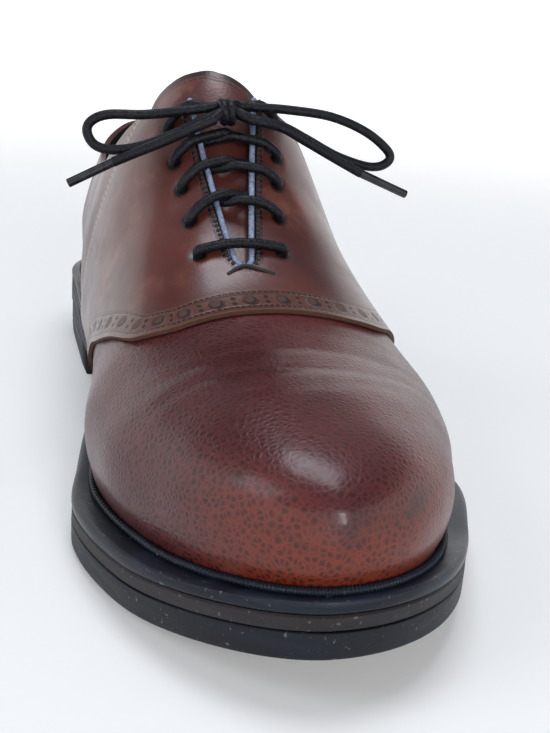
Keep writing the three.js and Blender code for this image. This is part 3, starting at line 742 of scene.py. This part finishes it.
def saddle_leather():
    finish, shader = new_finish("saddle_leather", Roughness=0.35, Specular_IOR_Level=0.35)
    shader["Coat Weight"].default_value = 0.4
    shader["Coat Roughness"].default_value = 0.22
    gap, run = noted(finish, "gap"), noted(finish, "run")
    rear_gap, rear_run = noted(finish, "rear_gap"), noted(finish, "rear_run")
    throat_gap, throat_run = noted(finish, "throat_gap"), noted(finish, "throat_run")
    hole = noted(finish, "hole")
    cloud = fade(finish, noise(finish, 24, 4, 0.6), 0.32, 0.7)
    streak = noise(finish, 90, 5, 0.65)
    worn = fade(finish, noise(finish, 38, 5, 0.62), 0.55, 0.74)
    colour = blend(finish, cloud, tone(64, 28, 25), tone(88, 43, 36))
    colour = blend(finish, times(finish, worn, 0.4), colour, tone(140, 88, 68))
    colour = blend(finish, fade(finish, streak, 0.6, 0.8, 0.0, 0.35), colour, tone(62, 30, 28))
    band = fade(finish, gap, 10.5, 8.8)
    colour = blend(finish, times(finish, band, 0.5), colour, tone(90, 54, 38))
    colour = blend(finish, fade(finish, gap, 0.8, 0.3), colour, tone(98, 62, 46))
    colour = blend(finish, fade(finish, rear_gap, 1.0, 0.2), colour, tone(110, 76, 56))
    # The large holes and pinholes are filled with painted shade, and a ring of painted shade runs round each
    # large hole; lit is a painted lit patch across each large hole, which leaves a crescent of painted shadow
    large = dots(finish, run, gap, HOLES, 0, 5.0, 1.75)
    ring = dots(finish, run, gap, HOLES, 0, 5.0, 2.35)
    pins = greatest(finish, *(dots(finish, run, gap, HOLES, HOLES / 2, row, 0.62) for row in (3.9, 6.2)))
    lit = dots(finish, sums(finish, "ADD", run, 0.5), gap, HOLES, 0, 5.5, 1.6)
    colour = blend(finish, times(finish, ring, 0.55), colour, tone(48, 27, 22))
    colour = blend(finish, greatest(finish, large, pins), colour, tone(22, 11, 10))
    colour = blend(finish, times(finish, lit, large), colour, tone(72, 44, 35))
    front_thread = greatest(finish, *(dashes(finish, run, gap, 1.7, row, 0.55) for row in (1.9, 8.3)))
    rear_thread = greatest(finish, *(dashes(finish, rear_run, rear_gap, 2.2, row, 0.4) for row in (1.6, 3.2)))
    throat_thread = dashes(finish, throat_run, throat_gap, 2.0, 1.5, 0.45)
    colour = blend(finish, front_thread, colour, tone(24, 14, 13))
    colour = blend(finish, rear_thread, colour, tone(190, 162, 136))
    colour = blend(finish, throat_thread, colour, tone(20, 18, 22))
    # Painted shade: a dark disc round each eyelet, for the hole and the shadow where the lace goes in
    colour = blend(finish, fade(finish, hole, 3.4, 2.0), colour, tone(24, 14, 14))
    join(finish, shader["Base Color"], colour)
    rough = fade(finish, streak, 0.3, 0.8, 0.3, 0.44)
    holes = greatest(finish, large, pins)
    join(finish, shader["Roughness"], sums(finish, "ADD", rough, times(finish, holes, 0.4)))
    threads = greatest(finish, front_thread, rear_thread, throat_thread)
    troughs = []
    for distance, row, wide, bed in ((gap, 1.9, 1.0, 0.2), (gap, 8.3, 1.0, 0.2), (rear_gap, 2.4, 1.6, 0.4)):
        away = sums(finish, "ABSOLUTE", sums(finish, "SUBTRACT", distance, row))
        troughs.append(fade(finish, away, wide, bed))
    trough = greatest(finish, *troughs)
    height = sums(finish, "SUBTRACT", times(finish, threads, 0.5), times(finish, trough, 0.35))
    height = sums(finish, "SUBTRACT", height, times(finish, greatest(finish, ring, pins), 0.8))
    height = sums(finish, "SUBTRACT", height, large)
    height = sums(finish, "ADD", height, times(finish, cell_distance(finish, 1300), 0.06))
    join(finish, shader["Normal"], bump(finish, height, 0.0006))
    return finish


def cell_distance(finish, scale):
    cells = node(finish, "TexVoronoi", {"Vector": place_on(finish), "Scale": scale}, feature="SMOOTH_F1")
    return cells.outputs[0]


def cut_edge():
    finish, shader = new_finish("cut_edge", Roughness=0.75)
    fibre = noise(finish, 900, 3)
    join(finish, shader["Base Color"], blend(finish, fibre, tone(58, 36, 28), tone(92, 60, 44)))
    return finish


rows_open = crowd(0.44, FACING_TOP - 0.0015, 16, "even") + crowd(FACING_TOP + 0.0015, THROAT, 60, "high")
rows_closed = crowd(THROAT, 0.724, 30, "even")
saddle_panels = [[saddle_line(share) for share in rows] for rows in (rows_open, rows_closed)]
saddle = finished("saddle_leather", hide_shell(
    saddle_panels, 96, SADDLE_FOOT, saddle_lift,
    ["gap", "run", "rear_gap", "rear_run", "throat_gap", "throat_run", "hole"], saddle_values,
), ["saddle"], [saddle_leather(), cut_edge()])
thicken(saddle, SADDLE / 1000, edge=0.0002).modifiers["wall"].material_offset_rim = 1

# Tongue: a padded strip of smooth leather under the facings, with a bound and stitched top edge.
# It has slid a little to the inner side.
TONGUE, TONGUE_WIDTH, TONGUE_SHIFT, TONGUE_FOOT = 2.4, 42, 3.5, 0.695
tongue_tip = table(["at", "medial", "lateral"], [
    [0.00, 0.467, 0.467],
    [0.33, 0.452, 0.469],
    [0.60, 0.433, 0.470],
    [0.85, 0.420, 0.475],
    [1.00, 0.436, 0.488],
])


def tongue_place(side, step, u):
    tip = tongue_tip("medial" if side < 0 else "lateral", u)
    foot = TONGUE_FOOT - 0.03 * (1 - math.sqrt(1 - (u * 0.97) ** 2))
    s = tip + (foot - tip) * step
    t = 0 if u == 0 else across(s, side, (TONGUE_WIDTH / 2 - side * TONGUE_SHIFT) * u)
    return skin(s, side, t, -LEATHER - GAP)


tongue_edge = measured([tongue_place(-1, 0.6 - i / 500, 1) for i in range(300)]
                       + [tongue_place(-1, 0, 1 - i / 400) for i in range(400)]
                       + [tongue_place(1, 0, i / 400) for i in range(400)]
                       + [tongue_place(1, i / 500, 1) for i in range(300)])


def tongue_leather():
    finish, shader = new_finish("tongue_leather", Roughness=0.4)
    shader["Coat Weight"].default_value = 0.25
    shader["Coat Roughness"].default_value = 0.3
    gap, run = noted(finish, "gap"), noted(finish, "run")
    cloud = fade(finish, noise(finish, 60, 4, 0.6), 0.35, 0.7)
    colour = blend(finish, cloud, tone(66, 28, 26), tone(98, 50, 42))
    worn = fade(finish, noise(finish, 110, 4), 0.6, 0.75)
    colour = blend(finish, times(finish, worn, 0.5), colour, tone(130, 84, 68))
    binding = fade(finish, gap, 3.0, 2.6)
    colour = blend(finish, times(finish, binding, 0.85), colour, tone(38, 18, 20))
    thread = dashes(finish, run, gap, 2.0, 3.9, 0.4)
    colour = blend(finish, thread, colour, tone(36, 20, 20))
    join(finish, shader["Base Color"], colour)
    pores = times(finish, cell_distance(finish, 1100), 0.15)
    height = sums(finish, "ADD", times(finish, binding, 0.6), pores)
    height = sums(finish, "ADD", height, times(finish, thread, 0.6))
    join(finish, shader["Normal"], bump(finish, height, 0.0005))
    return finish


bm = bmesh.new()
for side in (-1, 1):
    def tongue_point(u, v):
        point = tongue_place(side, v, u)
        return point, *tongue_edge(point)

    shaped_grid(bm, 20, 70, tongue_point, ["gap", "run"])
bmesh.ops.remove_doubles(bm, verts=bm.verts[:], dist=2e-6)
bmesh.ops.recalc_face_normals(bm, faces=bm.faces[:])
bm.faces.ensure_lookup_table()
if max(bm.faces, key=lambda face: face.calc_center_median().z).normal.z < 0:
    bmesh.ops.reverse_faces(bm, faces=bm.faces[:])
tongue = finished("tongue_leather", bm, ["tongue"], [tongue_leather(), lining])
thicken(tongue, TONGUE / 1000, inner=1, edge=0.0008)

# Throat piping: a light blue-grey cord round the inside of both facings, sewn in with black thread.
# The thread shows as small scallops along its outer side.
PIPING, PIPING_LIFT = 1.8, 0.9


def tube(name, points, diameter, sides=12):
    """A round cord as a curve of one open spline."""
    curve = bpy.data.curves.new(name, "CURVE")
    curve.dimensions = "3D"
    curve.bevel_depth = diameter / 2000
    curve.bevel_resolution = max(sides // 4 - 1, 1)
    curve.use_fill_caps = True
    spline = curve.splines.new("POLY")
    spline.points.add(len(points) - 1)
    for knot, point in zip(spline.points, points):
        knot.co = (*point, 1)
    spline.use_smooth = True
    made = bpy.data.objects.new(name, curve)
    bpy.context.collection.objects.link(made)
    return made


def smooth_line(points, steps):
    """Points along a smooth line through a few."""
    line = []
    for i in range(len(points) - 1):
        a, b = points[max(i - 1, 0)], points[i]
        c, d = points[i + 1], points[min(i + 2, len(points) - 1)]
        for j in range(steps):
            t = j / steps
            bend, twist = 2 * a - 5 * b + 4 * c - d, 3 * b - a - 3 * c + d
            line.append(0.5 * (2 * b + (c - a) * t + bend * t**2 + twist * t**3))
    return line + [points[-1]]


def woven_cord(name, dark, light, rough, coat=0.0):
    finish, shader = new_finish(name, Roughness=rough, Specular_IOR_Level=0.25)
    shader["Coat Weight"].default_value = coat
    shader["Coat Roughness"].default_value = 0.35
    braid = cell_distance(finish, 1500)
    colour = blend(finish, fade(finish, braid, 0.2, 0.7), light, dark)
    worn = fade(finish, noise(finish, 200, 3), 0.4, 0.7, 0.0, 0.5)
    join(finish, shader["Base Color"], blend(finish, worn, colour, dark))
    join(finish, shader["Normal"], bump(finish, sums(finish, "SUBTRACT", 1.0, braid), 0.00025))
    return finish


def round_throat(lift, aside):
    """Points up one facing, round the foot of the throat and up the other."""
    def arm(side):
        return [skin(s, side, across(s, side, max(slit(s) + aside, 0.1)), lift)
                for s in crowd(FACING_TOP + 0.006, THROAT - 0.1 * SLIT_TURN, 60, "high")]
    turn = skin(THROAT + aside / 303, 1, 0, lift)
    return arm(-1) + [turn] + arm(1)[::-1]


piping_cloth = woven_cord("piping_cloth", tone(104, 117, 144), tone(146, 160, 186), 0.5)
piping = tube("throat_piping", round_throat(PIPING_LIFT, -0.42 - PIPING / 2), PIPING)
piping.data.materials.append(piping_cloth)
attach(piping, "root")
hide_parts("throat_binding")

black_thread, thread_shader = new_finish("black_thread", Roughness=0.6)
join(black_thread, thread_shader["Base Color"],
     blend(black_thread, noise(black_thread, 900, 2), tone(10, 10, 13), tone(30, 30, 36)))
bm = bmesh.new()
for side in (-1, 1):
    for s in crowd(FACING_TOP + 0.008, THROAT - 0.4 * SLIT_TURN, 34, "even"):
        scallop = skin(s, side, across(s, side, slit(s) + 0.5), 1.5)
        bmesh.ops.create_icosphere(bm, subdivisions=2, radius=0.0007, matrix=Matrix.Translation(scallop))
finished("throat_stitches", bm, [], [black_thread], 180)
tack = tube("throat_tack", smooth_line([
    skin(0.6715, -1, 0.055, 1.5), skin(0.6665, -1, 0.028, 1.9), skin(0.6635, 1, 0, 2.0),
    skin(0.6665, 1, 0.028, 1.9), skin(0.6705, 1, 0.07, 1.5),
], 6), 1.1)
tack.data.materials.append(black_thread)
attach(tack, "root")

# Laces: one round waxed cord, near black, through all the eyelets.
# A straight bar lies over the lowest pair, and the strands cross above it under the facings.
LACE, LACE_LIFT = 3, 3.4
waxed_cord = woven_cord("waxed_cord", tone(3, 4, 8), tone(13, 15, 26), 0.5, 0.05)


def lace_point(s, side, distance, lift):
    return skin(s, side, across(s, side, distance), lift)


def on_lace(name, lines, nodes):
    curve_piece = tube(name, lines[0], LACE, 16)
    for line in lines[1:]:
        spline = curve_piece.data.splines.new("POLY")
        spline.points.add(len(line) - 1)
        for knot, point in zip(spline.points, line):
            knot.co = (*point, 1)
        spline.use_smooth = True
    curve_piece.data.materials.append(waxed_cord)
    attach(curve_piece, "root")
    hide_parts(*nodes)
    return curve_piece


def crossing(row, side, climb):
    s = EYELET_ROWS[row]
    hole = EYELETS_OUT[row]
    return smooth_line([
        lace_point(s, side, hole + 0.6, -2.5), lace_point(s, side, hole + 0.3, 0.4),
        lace_point(s, side, hole - 0.6, LACE_LIFT - 0.4),
        lace_point(s - climb * 0.35, side, hole - 3.6, LACE_LIFT + 0.5),
        lace_point(s - climb * 0.7, side, slit(s) - 0.2, LACE_LIFT + 0.3),
        lace_point(s - climb * 0.95, side, 1.6, LACE_LIFT - 1),
        lace_point(s - climb, -side, 1.8, LACE_LIFT - 2.4),
        lace_point(s - climb - 0.004, -side, slit(s) - 1.5, -0.6),
        lace_point(s - climb - 0.010, -side, slit(s) + 2, -2.6),
    ], 8)


bar_s = EYELET_ROWS[0]
bar_hole = EYELETS_OUT[0]
on_lace("lace_bar_cord", [smooth_line(
    [lace_point(bar_s, -1, bar_hole + 0.5, -2.5), lace_point(bar_s, -1, bar_hole + 0.2, 0.6)]
    + [lace_point(bar_s, -1 if share < 0 else 1, abs(share) * bar_hole, LACE_LIFT - 0.3 * share**4)
       for share in (-0.97, -0.75, -0.4, 0.001, 0.4, 0.75, 0.97)]
    + [lace_point(bar_s, 1, bar_hole + 0.2, 0.6), lace_point(bar_s, 1, bar_hole + 0.5, -2.5)],
    8)], ["lace_bar"])
for name, row, climbs in (("lace_cross_1", 1, (0.014, 0.008)), ("lace_cross_2", 2, (0.009, 0.004)),
                          ("lace_cross_3", 3, (0.004, 0.001))):
    on_lace(name + "_cord", [crossing(row, -1, climbs[0]), crossing(row, 1, climbs[1])], [name])

# Bow: the two ends of the lace, tied in a knot with a loop and a loose end to each side.
# Each end has a short moulded tip.


def spots(*rows):
    return [placed(*row) for row in rows]


top_s = EYELET_ROWS[4]
top_hole = EYELETS_OUT[4]
knot_line = smooth_line(
    [lace_point(top_s, -1, top_hole + 0.4, -2.5), lace_point(top_s, -1, top_hole, LACE_LIFT - 1),
     lace_point(top_s + 0.002, -1, slit(top_s + 0.002) - 1, LACE_LIFT + 1.2)]
    + spots((-2.4, -9.2, 112.6), (5.6, -9.2, 112.8))
    + [lace_point(top_s + 0.002, 1, slit(top_s + 0.002) - 1, LACE_LIFT + 1.2),
       lace_point(top_s, 1, top_hole, LACE_LIFT - 1), lace_point(top_s, 1, top_hole + 0.4, -2.5)], 8)
wrap_line = []
for i in range(55):
    angle = i * 0.27
    wrap_line.append(placed(-0.9 + 4.8 * i / 54, -13.6 + 3.3 * math.cos(angle), 112 + 2.7 * math.sin(angle)))
# The stretches inside the knot, that lead to each loop and end
joins = [smooth_line(spots(*rows), 6) for rows in (
    ((-4.6, -12.5, 113.1), (-1, -12.2, 113.5), (3, -12.1, 113.8), (8, -12, 113.9)),
    ((-4.4, -15.6, 110.4), (-1, -15.3, 111.8), (3, -15, 111.9), (7.8, -14.7, 110.5)),
    ((1.2, -13, 112.6), (-1.2, -16.7, 112.2), (-4.4, -18.9, 109.8)),
    ((2.2, -13, 112.6), (4.6, -16.8, 112.2), (8, -18.4, 110.4)),
)]
on_lace("lace_knot_cord", [knot_line, wrap_line, *joins], ["lace_knot"])

medial_loop = smooth_line(spots(
    (-3.4, -12.6, 113.2), (-9.6, -12.0, 112.0), (-23.3, -9.5, 109.8), (-34.4, -9, 109.3),
    (-39.6, -9, 107.1), (-40.8, -9.2, 103.8), (-38.4, -10, 100.1), (-32.9, -11, 99),
    (-24.4, -12.4, 100.7), (-15, -13.6, 104.7), (-7.6, -15.2, 108.9), (-3.6, -15.6, 110.8)), 8)
lateral_loop = smooth_line(spots(
    (6.8, -12.2, 113.9), (11, -11.7, 113.7), (21.8, -11.2, 113.4), (36.2, -11.5, 111.9),
    (48.8, -11.5, 107.4), (57.1, -11.5, 101.2), (55.8, -11.8, 97.6), (49.8, -12, 96.7),
    (38.7, -12.6, 99.7), (27.8, -13, 104.8), (18.4, -14.2, 108.8), (7, -14.8, 110.8)), 8)
medial_end = smooth_line(spots(
    (-3.4, -18.9, 110.2), (-10.5, -18.8, 107), (-18.7, -17.5, 102.8), (-26.8, -16, 99),
    (-33.4, -14.6, 95.8)), 8)
lateral_end = smooth_line(spots(
    (6.8, -18.4, 110.6), (17.2, -18.2, 108.8), (27, -17.6, 104.2), (36.6, -16.8, 99.5), (46, -15.8, 95)), 8)

tip_plastic, tip_shader = new_finish("tip_plastic", Roughness=0.22)
tip_cloud = fade(tip_plastic, noise(tip_plastic, 300, 2), 0.4, 0.7)
join(tip_plastic, tip_shader["Base Color"], blend(tip_plastic, tip_cloud, tone(14, 15, 20), tone(34, 36, 44)))
for name, line, end, tip in (("medial", medial_loop, medial_end, (-46.6, -12, 88.6)),
                             ("lateral", lateral_loop, lateral_end, (63.5, -13.4, 88.2))):
    loop = on_lace("lace_loop_" + name + "_cord", [line], ["lace_loop_" + name])
    aglet = tube("aglet_" + name + "_tip", [end[-1], placed(*tip)], 2.8, 16)
    aglet.data.materials.append(tip_plastic)
    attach(aglet, "root")
    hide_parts("aglet_" + name)
    loose = on_lace("lace_end_" + name + "_cord", [end], ["lace_end_" + name])

# Camera, soft studio light and a pale floor, which glows as painted fill light, faintly by the shoe and more
# strongly further away.
eye = bpy.data.cameras.new("camera")
eye.sensor_fit = "VERTICAL"
eye.sensor_height, eye.sensor_width = 36, 27.01
eye.lens = 49.5
camera = bpy.data.objects.new("camera", eye)
bpy.context.collection.objects.link(camera)
camera.location = (-0.0765, -0.3254, 0.1395)
camera.rotation_euler = (math.radians(71.1), math.radians(-3.99), math.radians(-15.29))
bpy.context.scene.camera = camera

glowing_floor, floor_shader = new_finish("glowing_floor", Roughness=0.8)
floor_shader["Base Color"].default_value = (0.8, 0.8, 0.8, 1)
floor_shader["Emission Color"].default_value = (1, 1, 1, 1)
# Painted light: the floor and its walls glow, from 0.15 by the shoe up to 0.72 further out, as fill light and
# a bright backdrop
away = node(glowing_floor, "VectorMath", {0: place_on(glowing_floor)}, operation="LENGTH").outputs[1]
join(glowing_floor, floor_shader["Emission Strength"], fade(glowing_floor, away, 0.2, 1.4, 0.15, 0.72))
bm = bmesh.new()


def dish(u, v):
    """A flat floor that curves up into a wall all round."""
    run = 4.6 * v
    bend = min(max((run - 2.0) / 1.6, 0), 1) * math.radians(75)
    past = max(run - 3.6, 0)
    radius = min(run, 2.0) + 1.22 * math.sin(bend) + past * math.cos(bend)
    angle = 2 * math.pi * u
    height = 1.22 * (1 - math.cos(bend)) + past * math.sin(bend)
    return (Vector((radius * math.cos(angle), radius * math.sin(angle), height)),)


shaped_grid(bm, 72, 40, dish)
bmesh.ops.remove_doubles(bm, verts=bm.verts[:], dist=1e-4)
bmesh.ops.recalc_face_normals(bm, faces=bm.faces[:])
floor_mesh = bpy.data.meshes.new("floor")
bm.to_mesh(floor_mesh)
bm.free()
floor_mesh.shade_smooth()
floor_mesh.materials.append(glowing_floor)
floor = bpy.data.objects.new("floor", floor_mesh)
bpy.context.collection.objects.link(floor)


def lamp(name, where, towards, size, power, colour):
    light = bpy.data.lights.new(name, "AREA")
    light.shape, light.size, light.size_y = "RECTANGLE", size[0], size[1]
    light.energy, light.color = power, colour
    made = bpy.data.objects.new(name, light)
    bpy.context.collection.objects.link(made)
    made.location = where
    made.rotation_euler = (Vector(towards) - Vector(where)).to_track_quat("-Z", "Y").to_euler()


lamp("sky_panel", (0.05, 0.1, 1.1), (0, 0, 0.05), (0.6, 0.45), 6, (0.86, 0.92, 1.0))
lamp("front_panel", (0.06, -0.9, 0.4), (0, -0.12, 0.05), (0.24, 0.18), 2.2, (1.0, 0.98, 0.96))
lamp("left_panel", (-0.8, -0.15, 0.7), (0, 0, 0.05), (0.5, 0.4), 2.4, (0.86, 0.92, 1.0))

world = bpy.data.worlds.new("studio")
world.use_nodes = True
world.node_tree.nodes["Background"].inputs["Color"].default_value = (0.86, 0.90, 1.0, 1)
world.node_tree.nodes["Background"].inputs["Strength"].default_value = 0.14
bpy.context.scene.world = world
bpy.context.scene.view_settings.view_transform = "Standard"
